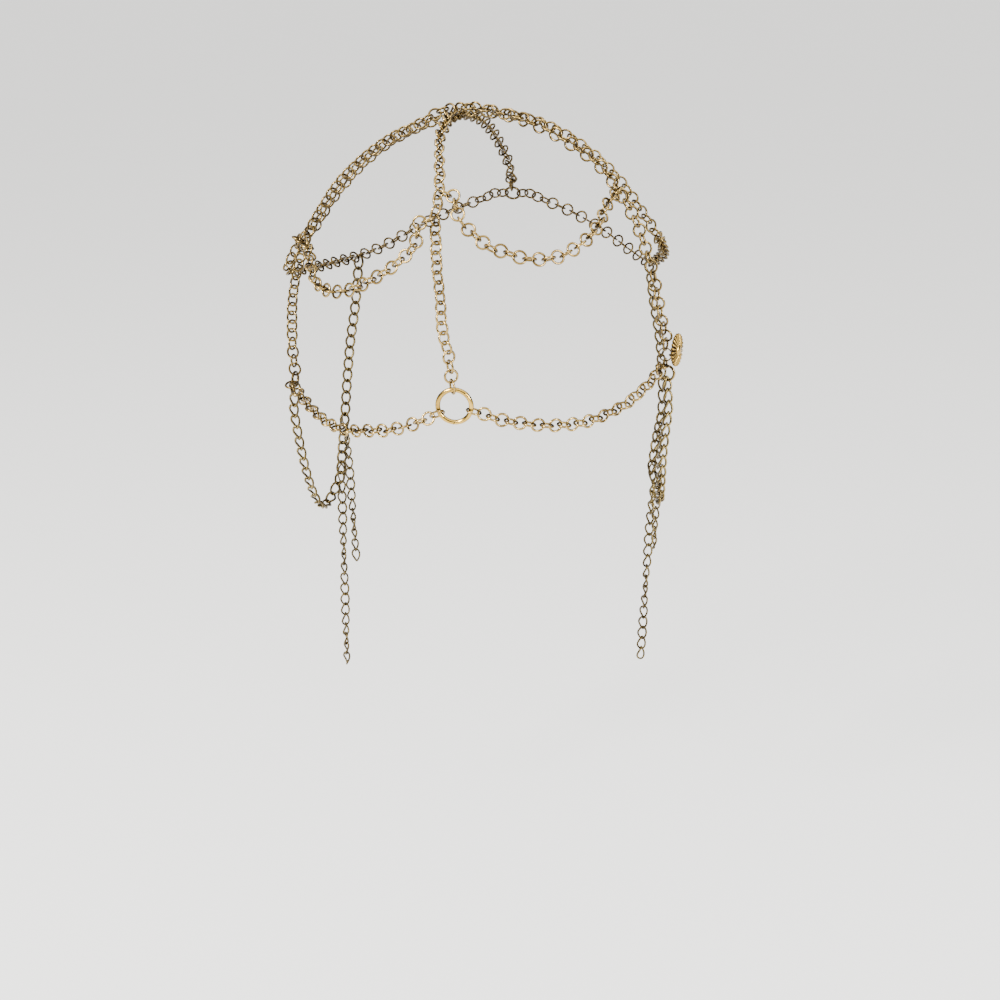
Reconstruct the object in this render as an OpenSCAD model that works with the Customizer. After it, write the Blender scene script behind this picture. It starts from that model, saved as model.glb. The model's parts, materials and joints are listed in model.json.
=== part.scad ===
// Hair chain: a net of round-link chain over the back of the head, worn with a nape ring, and curb
// chain that hangs beside the face. Millimetres, +Z up, the wearer faces -Y, wearer's left is +X.
// The origin is the point of the hollow's surface under the crown link.

/* [Hollow] */
// Half width of the hollow that the net encloses
net_half_w = 79.5; // [76:0.5:84]
// Depth of the hollow from its middle to the back
net_back = 78; // [75:0.5:84]
// Depth of the hollow from its middle to the forehead
net_front = 100; // [94:0.5:106]
// Height of the hollow above its middle
net_up = 82; // [78:0.5:88]
// Depth of the hollow's form below its middle
net_down = 165; // [155:1:180]

/* [Round links] */
// Outer diameter of a link
link_od = 6.1; // [5.7:0.1:6.4]
// Wire of a link
link_wire = 0.95; // [0.8:0.05:1]
// Free play where a link passes through the next
link_play = 0.22; // [0.18:0.01:0.24]
// Gap between a lying link and the hollow
rest_gap = 0.15; // [0.1:0.05:0.5]
// Lean of the net's links to either side, in degrees
link_lean = 45; // [40:1:50]
// Lean of the centre chain's links, in degrees
centre_lean = 29; // [25:1:50]
// Lean of the right side chain's links, in degrees
right_lean = -6; // [-15:1:-2]
// Small uneven turn of the links, in degrees
link_stray = 4; // [0:1:5]

/* [Nape ring] */
// Outer diameter of the nape ring
nape_od = 15.5; // [14:0.5:18]
// Wire of the nape ring
nape_wire = 1.95; // [1.6:0.05:2.2]
// Outer diameter of the jump rings on the nape ring
jump_od = 6.6; // [6.2:0.1:7.2]
// Wire of those jump rings
jump_wire = 0.9; // [0.7:0.05:1]
// Direction of the left jump ring below the ring's side, in degrees
nape_left_dip = 27; // [15:1:40]
// Direction of the right jump ring below the ring's side, in degrees
nape_right_dip = 15; // [5:1:40]

/* [Temples] */
// Outer diameter of the ring at each temple
temple_od = 7.4; // [6.8:0.1:8]
// Wire of that ring
temple_wire = 1.15; // [0.9:0.05:1.25]
// Outer diameter of the thin ring above the right temple ring
thin_od = 6.2; // [5.8:0.1:6.8]
// Wire of the thin ring
thin_wire = 0.6; // [0.5:0.05:0.8]
// Outer diameter of the small link between these rings
small_od = 5.4; // [5.1:0.1:5.8]
// Wire of the small link
small_wire = 0.85; // [0.7:0.05:0.9]

/* [Sun medallion] */
// Diameter over the rays
sun_d = 14; // [12:0.5:17]
// Diameter of the disc that the rays lie on
sun_disc_d = 12; // [10:0.5:12.5]
// Thickness of the disc
sun_t = 1.2; // [0.9:0.1:1.6]
// Diameter of the raised middle
sun_boss_d = 4.4; // [3:0.2:6]
// Number of rays
sun_rays = 24; // [16:2:28]
// Diameter of one ray
sun_ray_d = 0.9; // [0.7:0.05:1]
// Way from the middle to where a ray starts
sun_ray_start = 2.6; // [2:0.1:3.5]
// Fall of the rays towards their tips, in degrees
sun_fall = 7; // [3:1:10]
// Turn of the medallion off the hollow, towards the back, in degrees
sun_turn = 1; // [0:1:15]
// Height of its middle above its loop
sun_rise = 2.4; // [0:0.1:3]
// Outer diameter of the loop on its back
sun_loop_od = 3.4; // [3:0.1:4]
// Wire of that loop
sun_loop_wire = 0.8; // [0.6:0.05:0.9]

/* [Front chains] */
// Width of the front chains
front_w = 6.1; // [5:0.1:6.4]
// Outer diameter of the ring over the forehead
forehead_od = 8; // [7:0.5:10]
// Wire of that ring
forehead_wire = 1.1; // [0.9:0.05:1.4]
// Way along the middle chain to where the right front chain leaves it
fork_right = 8; // [7:0.5:10]
// Way along the middle chain to where the left front chain leaves it
fork_left = 14; // [13:0.5:17]

/* [Curb chains] */
// Width of the curb chain beside the face
curb_w = 4.7; // [4:0.1:5.2]
// Width of the dangle chains
dangle_w = 4.2; // [3.4:0.1:4.6]
// Drop of the left long dangle
long_left = 95; // [70:1:105]
// Drop of the right long dangle
long_right = 90; // [70:1:105]
// Drop of the left short dangle
short_left = 70; // [50:1:80]
// Drop of the right short dangle
short_right = 62; // [50:1:80]

/* [Hidden] */

gold = "#c7a768";
deep_gold = "#cfa24a";

pitch = link_od - 2 * link_wire - link_play;
// Way from an end link to the one next to it, a little slack
end_slack = 0.22;
near_way = pitch - end_slack;
lean_lift = link_od / 2 * sin(link_lean) + rest_gap;
flat_lift = link_od / 2;
centre_lift = link_od / 2 * cos(centre_lean) + rest_gap;
front_lift = front_w / 2 + rest_gap;
// Angle off its own neighbours at which a link can be hooked into another's side
hook_from = 64;
// The same where a link is hooked straight out of a ring's side
straight_hook = 88;
// Share of its full openness at which a link's side counts as open towards a point
open_from = 0.2;
// Tilt of the left jump ring, as rise over run
jump_tilt = 0.8;
// Quarter turn from each link to the next
quarter = 90;
// Share of a dangle's lean that it has half way down
lean_half = 0.6;
// Height of the medallion's boss, as a share of the disc's thickness
boss_share = 1.9;
// Links over which a chain turns from its end's roll to its own
ease_links = 4;
curve_steps = 8;
tube_sides = 8;
front_ring_step = 20;
curb_ring_step = 12;
dangle_ring_step = 40;
tube_gap = 0.3;
fall_step = 0.5;
// Roll of the top jump ring off the nape ring, in degrees
jump_lean = 63;
// Turn of the left temple ring off the hollow, in degrees
temple_turn = 25;
// Angle at which the right temple ring stands off the hollow, in degrees
ring_kick = 14;

// Routes of the chains. A row is a turn round the head from straight back, a height angle and,
// where it isn't the chain's usual one, the lift off the hollow.
centre_route = [
    [114, 81], [54, 79], [34, 74], [26, 69], [20, 64], [14, 57], [11, 52], [9, 47], [8, 42], [8, 37],
    [7, 33], [6, 28], [5, 22], [4, 17], [3.5, 14], [3, 8], [2, 2.5], [1.2, 0.5]
];
side_left_route = [
    [103, 74], [93, 69], [90.5, 65], [89, 60], [86.5, 55], [85, 50], [84, 44], [82.5, 39], [81, 34],
    [80, 28, 2.8], [79, 24, 3], [78.5, 20, 3.1], [77, 11, 3.3], [76, 4, 3.8], [75, -1, 4.2],
    [74.3, -4.5, 4.7]
];
side_right_route = [
    [-76, 80], [-70, 75], [-71, 68], [-71, 62], [-72.5, 58], [-74.5, 53], [-74.5, 48], [-73, 43],
    [-72, 37], [-71.5, 33], [-71, 29], [-70, 23], [-70, 18], [-70, 12], [-71, 7, 2.8], [-72.5, 1, 3.3],
    [-74.5, -2.6, 4]
];
back_left_route = [
    [7, 36], [13, 28.5], [17, 24], [21.5, 20.5], [27, 17.5], [32, 15], [38, 13.5], [43, 13],
    [50, 14], [54, 16], [59, 19], [65, 22], [79, 21]
];
back_right_route = [
    [8, 42], [-1, 36], [-7, 31], [-11, 28], [-15, 27], [-21, 25], [-27, 24.5],
    [-33, 25], [-39, 27], [-45, 29.5], [-51.5, 33], [-57.5, 37], [-73, 43]
];
nape_left_route = [
    [9, -9.6], [13, -10.5], [19.5, -11.6], [24, -12], [30, -12.5], [36, -13], [42, -13],
    [48, -12.7], [53, -12.2], [60, -11.4, 3.8], [65.5, -10.4, 4.8]
];
nape_right_route = [
    [-10.5, -8.9], [-15, -9.5], [-20, -10], [-26, -10.5], [-31.5, -10.7], [-37, -10.8], [-43, -10.5],
    [-48, -10], [-54, -9.3, 3.4], [-60, -8, 4], [-66, -6.6, 4.8]
];
nape_spot = [-0.2, -7.4];
temple_left_spot = [73.6, -9.2, 5];
front_centre_route = [
    [135, 79], [160, 73], [170, 66], [175, 57], [178, 48], [180, 39], [180, 31]
];
forehead_spot = [180, 27];
front_left_route = [
    [138, 76], [125, 72], [115, 68], [109, 62], [105, 56], [102, 50], [99, 44], [97, 38], [94, 32],
    [90, 26], [85, 20, 5], [82, 14.5, 7.5], [86, 11, 7], [95, 10, 5], [104, 9.5], [113, 9], [123, 9],
    [134, 11], [146, 16], [158, 21], [169, 25]
];
front_right_route = [
    [-150, 82], [-115, 76], [-100, 72], [-95, 70], [-88, 62], [-85, 55], [-84, 50], [-83, 40],
    [-82, 35], [-85, 30], [-89, 24], [-96, 20], [-104, 16], [-113, 12], [-123, 9], [-134, 11],
    [-146, 16], [-158, 21], [-169, 25]
];
// Where the two face drapes hang from the front chains
brow_spot = [123, 9];

// Routes of the face drapes. A row is the way out from the hollow's half width, then y and z from
// the middle of the hollow.
drape_left_route = [
    [2.5, 20.5, -41], [2, 18, -52.8], [1.1, 15, -64.6], [0.1, 11, -76], [-1, 6, -85.5], [-2, 0, -92.3],
    [-2.3, -8, -95.2], [-3.3, -14.5, -94.2], [-4.8, -19.5, -90.5], [-6.4, -23, -85.5], [-6, -29, -78.5],
    [-5, -37, -72], [-4, -44, -67], [-3.6, -49, -60.5], [-4.2, -52.5, -46], [-6, -54, -28], [-9, -54.3, -10]
];
drape_right_route = [
    [2.6, 20.3, -36], [1.6, 18, -46.5], [0.6, 15, -57.2], [0, 11, -68], [-0.5, 6, -77.2], [-1, 0, -83.5],
    [-1.5, -8, -86.2], [-2.6, -14.5, -85], [-4.2, -19.5, -81.3], [-6.2, -23, -76.5], [-5.8, -29, -69.8],
    [-5, -37, -63.4], [-4, -44, -58.5], [-3.6, -49, -52], [-4.2, -52.5, -38], [-6, -54, -21.5],
    [-9, -54.3, -5]
];
// Way along each drape to its dangles, as shares of the drape's length
long_share = 0.488;
short_share = 0.64;
// Way that each dangle leans in towards its free end
long_left_lean = -0.9;
long_right_lean = 4.2;
short_left_lean = 3.1;
short_right_lean = 2.1;

// Vectors and points on the hollow's form

function unit(v) = v / norm(v);
function across(v, axis) = unit(v - (v * axis) * axis);
function back_or_front(y) = y >= 0 ? net_back : net_front;
function up_or_down(z) = z >= 0 ? net_up : net_down;

function on_net(spot, lift) =
    let (
        az = spot[0],
        el = spot[1],
        off = is_undef(spot[2]) ? lift : spot[2],
        x = (net_half_w + off) * cos(el) * sin(az),
        y = (back_or_front(cos(az)) + off) * cos(el) * cos(az),
        z = (up_or_down(el) + off) * sin(el)
    )
    [x, y, z];

function outward(p) =
    unit([p.x / pow(net_half_w, 2), p.y / pow(back_or_front(p.y), 2), p.z / pow(up_or_down(p.z), 2)]);

seat = on_net(centre_route[0], 0);

// Smooth curve through the points, as rows of way and point

function blend(p, k, f) =
    let (
        a = p[max(k - 1, 0)],
        b = p[k],
        c = p[k + 1],
        d = p[min(k + 2, len(p) - 1)]
    )
    (2 * b + (c - a) * f + (2 * a - 5 * b + 4 * c - d) * f * f + (3 * b - a - 3 * c + d) * f * f * f) / 2;

function smooth(p) = [
    for (k = [0 : len(p) - 2]) for (j = [0 : curve_steps - 1]) blend(p, k, j / curve_steps),
    p[len(p) - 1]
];

function ways(q) = [
    for (i = 0, s = 0; i < len(q); i = i + 1, s = i < len(q) ? s + norm(q[i] - q[i - 1]) : s) s
];

function track(p) =
    let (q = smooth(p), s = ways(q))
    [for (i = [0 : len(q) - 1]) [s[i], q[i]]];

function track_end(tr) = tr[len(tr) - 1][0];

function place(tr, s) = [for (axis = [0 : 2]) lookup(s, [for (row = tr) [row[0], row[1][axis]]])];

function heading(tr, s) =
    unit(place(tr, min(s + pitch / 2, track_end(tr))) - place(tr, max(s - pitch / 2, 0)));

// A link is its centre and two square directions that span its plane

function laid(tr, s, roll) =
    let (
        c = place(tr, s),
        t = heading(tr, s),
        n = across(outward(c), t),
        side = cross(n, t)
    )
    [c, t, cos(roll) * side + sin(roll) * n];

function wrap(angle, turn) = angle - turn * round(angle / turn);

function stray(i, count) =
    link_stray * sin(137 * i) * lookup(i, [[0, 0], [ease_links, 1], [count - ease_links, 1], [count, 0]]);

// Roll at which a link laid at the given way passes squarely through another
function square_roll(tr, s, other) =
    let (
        flat = laid(tr, s, 0),
        u = across(cross(other[1], other[2]), flat[1])
    )
    atan2(u * cross(flat[1], flat[2]), u * flat[2]);

// Links along a track, a quarter turn apart, rolled to `lean` between the ends. The links next to
// `first` and `last` pass squarely through these, and the others turn slowly from there.
function strung(tr, lean, first, last, near, far) =
    let (
        span = track_end(tr),
        inner = span - near - far,
        start = square_roll(tr, near, first),
        end = square_roll(tr, span - far, last),
        ease_in = wrap(start - lean, quarter),
        whole = ceil(inner / pitch),
        misfit = wrap(end - start + ease_in - quarter * whole, 2 * quarter),
        count = abs(misfit) > quarter / 2 ? whole + 1 : whole,
        ease_out = wrap(end - start + ease_in - quarter * count, 2 * quarter)
    )
    [
        first,
        for (i = [0 : count])
            laid(tr, near + i * inner / count,
                start - ease_in + quarter * i + stray(i, count)
                + ease_in * lookup(i, [[0, 1], [ease_links, 0]])
                + ease_out * lookup(count - i, [[0, 1], [ease_links, 0]])),
        last
    ];

// Distance between the centres of two rings that pass through each other
function ring_way(od_a, wire_a, od_b, wire_b) = (od_a + od_b) / 2 - wire_a - wire_b - link_play;

// A link's direction off the hollow, square to its chain
function open_side(link) = link[2] * sign(link[2] * outward(link[0]));

// A link hooked into a ring's side, the way given between the centres, towards the given point
function side_hook(carrier, way, target, from) =
    let (
        d = unit(target - carrier[0]),
        v = carrier[2] * sign(carrier[2] * d),
        turn = max(from, min(180 - from, atan2(d * v, d * carrier[1]))),
        e = cos(turn) * carrier[1] + sin(turn) * v
    )
    [carrier[0] + way * e, e, unit(cross(carrier[1], v))];

// The same on the nearest link of a chain whose open side faces that point
function hooked(links, spot, target) =
    let (
        fit = [for (k = links) if (open_side(k) * unit(target - k[0]) > open_from) k],
        ways_to = [for (k = fit) norm(k[0] - spot)]
    )
    side_hook(fit[search(min(ways_to), ways_to)[0]], pitch, target, hook_from);

function points(route, lift) = [for (spot = route) on_net(spot, lift)];

// The point the given way off a link's centre, in its plane and along the hollow
function lead(link, way) =
    let (
        along = across(link[1], outward(link[0])),
        axis = cross(link[1], link[2])
    )
    link[0] + way * across(along, axis);

// Chain between two given links, each with the way to the link next to it
function swag(first, last, route, lift, lean, near, far) =
    strung(
        track(concat([first[0], lead(first, near)], points(route, lift), [lead(last, far), last[0]])),
        lean, first, last, near, far
    );

function all_but_first(list) = [for (i = [1 : len(list) - 1]) list[i]];
function all_but_last(list) = [for (i = [0 : len(list) - 2]) list[i]];

// A ring placed beyond another: its centre lies the given way off along t
function beyond(link, t, way, u) = [link[0] + way * t, t, across(u, t)];

// Nape ring and its top jump ring

nape_centre = on_net(nape_spot, lean_lift);
nape_out = outward(nape_centre);
nape_up = across([0, 0, 1], nape_out);
nape_side = cross(nape_up, nape_out);
nape_link = [nape_centre, nape_up, nape_side];
jump_way = ring_way(nape_od, nape_wire, jump_od, jump_wire);
jump_to_link = ring_way(jump_od, jump_wire, link_od, link_wire);
top_dir = unit(on_net(centre_route[len(centre_route) - 1], lean_lift) - nape_centre);
jump_top = beyond(nape_link, top_dir, jump_way, cos(jump_lean) * nape_side + sin(jump_lean) * nape_out);

// Centre chain and crown

crown_link = laid(track(points(centre_route, lean_lift)), 0, link_lean);
centre_links = all_but_last(swag(
    crown_link, jump_top, all_but_first(centre_route), centre_lift, centre_lean, near_way, jump_to_link
));

side_left_start = side_hook(centre_links[1], pitch, on_net(side_left_route[0], lean_lift), hook_from);
side_right_start = side_hook(centre_links[0], pitch, on_net(side_right_route[0], lean_lift), hook_from);

// Side jump rings of the nape ring

function nape_dir(sign_x, dip) = sign_x * cos(dip) * nape_side - sin(dip) * nape_up;

left_dir = nape_dir(sign(nape_side.x), nape_left_dip);
right_dir = nape_dir(-sign(nape_side.x), nape_right_dip);
jump_left = beyond(nape_link, left_dir, jump_way, nape_out + nape_up * jump_tilt);
jump_right = beyond(nape_link, right_dir, jump_way, nape_out);

// Temples. The right one has a thin ring and a small link above its ring, and the medallion.

down = [0, 0, -1];

function temple_frame(p) =
    let (n = across(outward(p), down), back = across(cross(n, down), n))
    [p, down, sin(temple_turn) * n + cos(temple_turn) * back * sign(back.y)];

temple_left = temple_frame(on_net(temple_left_spot, lean_lift));
side_right_end_spot = on_net(side_right_route[len(side_right_route) - 1], lean_lift);
right_out = across(outward(side_right_end_spot), down);
right_back = cross(right_out, down) * sign(cross(right_out, down).y);
side_right_end = [side_right_end_spot, -down, right_back];
thin_ring = beyond(side_right_end, down, ring_way(link_od, link_wire, thin_od, thin_wire), right_out);
small_link = beyond(thin_ring, down, ring_way(thin_od, thin_wire, small_od, small_wire), right_back);
ring_dir = unit(down + tan(ring_kick) * right_out);
temple_right = beyond(
    small_link, ring_dir, ring_way(small_od, small_wire, temple_od, temple_wire) - end_slack, right_out
);

// Side chains

side_left_end_way = ring_way(temple_od, temple_wire, link_od, link_wire);
side_left_end = [
    temple_left[0] - side_left_end_way * down, -down, cross(down, temple_left[2])
];
side_left_links = swag(
    side_left_start, side_left_end, all_but_first(side_left_route), lean_lift, link_lean, near_way, near_way
);
side_right_links = swag(
    side_right_start, side_right_end, all_but_last(side_right_route), flat_lift, right_lean,
    near_way, near_way
);

// Back swags

function back_swag(route, side_links) =
    let (
        inner = all_but_first(all_but_last(route)),
        from = on_net(route[0], lean_lift),
        to = on_net(route[len(route) - 1], lean_lift)
    )
    swag(
        hooked(centre_links, from, on_net(inner[0], flat_lift)),
        hooked(side_links, to, on_net(inner[len(inner) - 1], flat_lift)),
        inner, flat_lift, 0, near_way, near_way
    );

back_left_links = back_swag(back_left_route, side_left_links);
back_right_links = back_swag(back_right_route, side_right_links);

// Nape chains: the first link passes through a jump ring, the last through a ring at the temple

function nape_chain(jump, route, carrier, carrier_od, carrier_wire, from) =
    let (
        way = ring_way(carrier_od, carrier_wire, link_od, link_wire),
        last = side_hook(carrier, way, on_net(route[len(route) - 1], flat_lift), from)
    )
    all_but_first(swag(jump, last, route, flat_lift, 0, jump_to_link, near_way));

nape_left_links = nape_chain(
    jump_left, nape_left_route, temple_left, temple_od, temple_wire, hook_from
);
nape_right_links = nape_chain(
    jump_right, nape_right_route, small_link, small_od, small_wire, straight_hook
);

// Front chains and their ring

front_start = centre_links[0][0];
forehead = on_net(forehead_spot, lean_lift);
forehead_out = outward(forehead);
forehead_up = across([0, 0, 1], forehead_out);
forehead_side = cross(forehead_up, forehead_out);
forehead_reach = forehead_od / 2 + tube_gap;
front_centre_track = track(concat(
    [front_start], points(front_centre_route, front_lift), [forehead + forehead_reach * forehead_up]
));

function fork(way, sign_x) =
    let (
        c = place(front_centre_track, way),
        t = heading(front_centre_track, way),
        side = cross(t, outward(c))
    )
    c + sign_x * sign(side.x) * (front_w / 2 + tube_gap) * side;

function front_track(way, sign_x, route) = track(concat(
    [fork(way, sign_x)], points(route, front_lift),
    [forehead + sign_x * sign(forehead_side.x) * forehead_reach * forehead_side]
));

front_left_track = front_track(fork_left, 1, front_left_route);
front_right_track = front_track(fork_right, -1, front_right_route);

// Face drapes hang from the temple rings to the front chains

function drape_track(temple, route, sign_x) = track(concat(
    [temple[0] + (temple_od / 2 + tube_gap) * down],
    [for (row = route) [sign_x * (net_half_w + row[0]), row[1], row[2]]],
    [on_net([sign_x * brow_spot[0], brow_spot[1]], front_lift) + (front_w / 2 + tube_gap) * down]
));

drape_left_track = drape_track(temple_left, drape_left_route, 1);
drape_right_track = drape_track(temple_right, drape_right_route, -1);

// The straight pieces that a tube along a track is made of
function chords(tr, step) =
    let (span = track_end(tr), count = ceil(span / step))
    [for (i = [0 : count]) let (s = i * span / count) [s, place(tr, s)]];

// Drop from a drape at which a dangle's flat top hangs clear of it
function fall(path, s) =
    let (c = place(path, s), reach = curb_w / 2 + tube_gap)
    max([
        for (w = [s - curb_ring_step : fall_step : s + curb_ring_step])
            let (
                q = place(path, w),
                off = max(0, norm([q.x - c.x, q.y - c.y]) - dangle_w / 2)
            )
            if (off < reach) c.z - q.z + sqrt(reach * reach - off * off)
    ]);

function dangle_track(drape, share, drop, lean_in, sign_x) =
    let (
        path = chords(drape, curb_ring_step),
        s = share * track_end(drape),
        top = place(path, s) + fall(path, s) * down
    )
    track([top, top + [-sign_x * lean_in * lean_half, 0, -drop / 2], top + [-sign_x * lean_in, 0, -drop]]);

// Solids

module ring(link, od, wire) {
    c = link[0] - seat;
    t = link[1];
    u = link[2];
    w = cross(t, u);
    multmatrix([
        [t.x, u.x, w.x, c.x],
        [t.y, u.y, w.y, c.y],
        [t.z, u.z, w.z, c.z],
        [0, 0, 0, 1]
    ])
    rotate_extrude($fn = 32)
    translate([(od - wire) / 2, 0])
    circle(d = wire, $fn = 16);
}

module chain(links) {
    color(gold) for (link = links) ring(link, link_od, link_wire);
}

module tube(tr, width, step) {
    path = chords(tr, step);
    count = len(path) - 1;
    rings = [
        for (row = path)
            let (
                t = heading(tr, row[0]),
                n = across(outward(row[1]), t),
                side = cross(n, t)
            )
            for (k = [0 : tube_sides - 1])
                let (a = 360 * k / tube_sides)
                row[1] - seat + width / 2 * (cos(a) * side + sin(a) * n)
    ];
    walls = [
        for (i = [0 : count - 1]) for (k = [0 : tube_sides - 1])
            let (a = i * tube_sides, m = (k + 1) % tube_sides)
            [a + k, a + m, a + tube_sides + m, a + tube_sides + k]
    ];
    low = [for (k = [0 : tube_sides - 1]) tube_sides - 1 - k];
    top = [for (k = [0 : tube_sides - 1]) count * tube_sides + k];
    color(gold) polyhedron(rings, concat([low], walls, [top]));
}

module centre_chain() {
    chain(centre_links);
}

module side_chain_left() {
    chain(side_left_links);
}

module side_chain_right() {
    chain(side_right_links);
}

module back_swag_left() {
    chain(back_left_links);
}

module back_swag_right() {
    chain(back_right_links);
}

module nape_chain_left() {
    chain(nape_left_links);
}

module nape_chain_right() {
    chain(nape_right_links);
}

module nape_ring() {
    color(deep_gold) ring(nape_link, nape_od, nape_wire);
}

module jump_ring(link) {
    color(gold) ring(link, jump_od, jump_wire);
}

module temple_ring(link) {
    color(gold) ring(link, temple_od, temple_wire);
}

module temple_thin_ring() {
    color(gold) ring(thin_ring, thin_od, thin_wire);
}

module temple_small_link() {
    color(gold) ring(small_link, small_od, small_wire);
}

// The medallion's loop passes through the outer side of the thin ring
module temple_medallion() {
    loop_way = ring_way(thin_od, thin_wire, sun_loop_od, sun_loop_wire);
    disc_way = (sun_loop_od - sun_loop_wire) / 2;
    loop_centre = thin_ring[0] + loop_way * right_out - seat;
    out = cos(sun_turn) * right_out + sin(sun_turn) * right_back;
    y = across(right_back, out);
    z = cross(out, y);
    up = sign(z.z);
    color(deep_gold)
    multmatrix([
        [y.x, z.x, out.x, loop_centre.x],
        [y.y, z.y, out.y, loop_centre.y],
        [y.z, z.z, out.z, loop_centre.z],
        [0, 0, 0, 1]
    ]) {
        rotate([90, 0, 0])
        rotate_extrude($fn = 32)
        translate([(sun_loop_od - sun_loop_wire) / 2, 0])
        circle(d = sun_loop_wire, $fn = 16);
        translate([0, up * sun_rise, disc_way]) {
            cylinder(d = sun_disc_d, h = sun_t, $fn = 48);
            cylinder(d = sun_boss_d, h = sun_t * boss_share, $fn = 48);
            for (k = [0 : sun_rays - 1])
                rotate([0, 0, 360 * k / sun_rays])
                translate([sun_ray_start, 0, sun_t])
                rotate([0, 90 + sun_fall, 0])
                cylinder(d = sun_ray_d, h = sun_d / 2 - sun_ray_start, $fn = 16);
        }
    }
}

module forehead_ring() {
    color(gold) ring([forehead, forehead_up, forehead_side], forehead_od, forehead_wire);
}

module front_centre_chain() {
    from = link_od / 2 + tube_gap;
    kept = [
        for (row = front_centre_track) if (row[0] > from) [row[0] - from, row[1]]
    ];
    tube(concat([[0, place(front_centre_track, from)]], kept), front_w, front_ring_step);
}

module dangle(drape, share, drop, lean_in, sign_x) {
    tube(dangle_track(drape, share, drop, lean_in, sign_x), dangle_w, dangle_ring_step);
}

centre_chain();
side_chain_left();
side_chain_right();
back_swag_left();
back_swag_right();
nape_chain_left();
nape_chain_right();
nape_ring();
jump_ring(jump_top);  // nape_jump_top
jump_ring(jump_left);  // nape_jump_left
jump_ring(jump_right);  // nape_jump_right
temple_ring(temple_left);  // temple_ring_left
temple_ring(temple_right);  // temple_ring_right
temple_thin_ring();
temple_small_link();
temple_medallion();
front_centre_chain();
tube(front_left_track, front_w, front_ring_step);  // front_chain_left
tube(front_right_track, front_w, front_ring_step);  // front_chain_right
forehead_ring();
tube(drape_left_track, curb_w, curb_ring_step);  // face_drape_left
tube(drape_right_track, curb_w, curb_ring_step);  // face_drape_right
dangle(drape_left_track, long_share, long_left, long_left_lean, 1);  // long_dangle_left
dangle(drape_right_track, long_share, long_right, long_right_lean, -1);  // long_dangle_right
dangle(drape_left_track, short_share, short_left, short_left_lean, 1);  // short_dangle_left
dangle(drape_right_track, short_share, short_right, short_right_lean, -1);  // short_dangle_right
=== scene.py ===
"""Looks of a worn hair chain: a net of round links with front chains, curb drapes and dangles."""

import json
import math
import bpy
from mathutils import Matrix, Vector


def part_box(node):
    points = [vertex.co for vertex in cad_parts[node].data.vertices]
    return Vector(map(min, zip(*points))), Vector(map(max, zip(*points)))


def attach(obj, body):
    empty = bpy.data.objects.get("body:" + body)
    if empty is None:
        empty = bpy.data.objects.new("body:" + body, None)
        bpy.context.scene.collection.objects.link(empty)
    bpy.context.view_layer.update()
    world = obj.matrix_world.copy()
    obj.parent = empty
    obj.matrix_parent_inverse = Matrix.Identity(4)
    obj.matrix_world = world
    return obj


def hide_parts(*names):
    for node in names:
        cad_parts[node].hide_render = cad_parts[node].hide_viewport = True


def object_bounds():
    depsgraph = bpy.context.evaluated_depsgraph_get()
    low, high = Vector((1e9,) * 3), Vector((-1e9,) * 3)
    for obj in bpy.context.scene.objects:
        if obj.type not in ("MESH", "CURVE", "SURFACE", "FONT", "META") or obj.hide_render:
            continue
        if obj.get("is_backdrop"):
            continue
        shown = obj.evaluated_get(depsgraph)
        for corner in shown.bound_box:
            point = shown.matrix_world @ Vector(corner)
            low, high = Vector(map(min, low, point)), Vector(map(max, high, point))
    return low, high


bl_info = {
    "name": "Hair chain",
    "version": (1, 0, 0),
    "blender": (4, 5, 0),
    "location": "3D View > Sidebar > Hair chain",
    "description": "Builds the fine chains, the metal finishes and the stage of a worn hair chain",
    "category": "Object",
}

import bpy
import numpy as np
from bpy.props import FloatProperty, FloatVectorProperty, IntProperty, PointerProperty
from mathutils import Euler, Vector

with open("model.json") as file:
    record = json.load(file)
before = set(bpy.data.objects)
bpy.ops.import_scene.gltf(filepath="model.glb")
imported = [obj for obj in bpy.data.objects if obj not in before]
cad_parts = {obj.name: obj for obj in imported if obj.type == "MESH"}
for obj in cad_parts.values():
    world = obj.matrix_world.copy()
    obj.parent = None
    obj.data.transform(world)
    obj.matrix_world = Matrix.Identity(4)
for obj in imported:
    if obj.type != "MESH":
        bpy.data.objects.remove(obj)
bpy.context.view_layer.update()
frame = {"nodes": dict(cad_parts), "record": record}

MM = 0.001

# Hollow that the net encloses, in millimetres from its middle
NET_HALF_W = 79.5
NET_BACK = 78.0
NET_FRONT = 100.0
NET_UP = 82.0
NET_DOWN = 165.0

# How the fine chains lie, with lengths in millimetres and turns in degrees
REST_GAP = 0.15
LINK_LEAN = 45.0
LINK_STRAY = 4.0
STRAY_TURN = 137
EASE_LINKS = 4
HOOK_RISE = 0.3
END_SLACK = 0.22
TUBE_GAP = 0.3
CURVE_STEPS = 8
CURB_PLAY = 0.06
# Roll at which a link at the side of the net shows its hole to the back
FACE_ON = 90.0

# Rings and plain forms that the fine chains meet or replace
FOREHEAD_OD = 8.0
FOREHEAD_WIRE = 1.1
TEMPLE_OD = 7.4
DANGLE_TUBE_W = 4.2

# The medallion's raised middle, its rays, its rim and its loop
RAYS = 24
RAY_STEPS = 8
RAY_START = 2.6
RAY_BLEND = 0.3
RIDGE_LEVEL = 0.55
SUN_RADIUS = 7.0
SUN_SCALLOP = 1.3
SUN_FACE = 1.3
SUN_RIDGE = 1.2
SUN_FALL = 0.14
BOSS_RADIUS = 2.2
BOSS_TOP = 2.28
LOOP_OD = 3.4
LOOP_WIRE = 0.8
LOOP_DROP = 2.4
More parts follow.
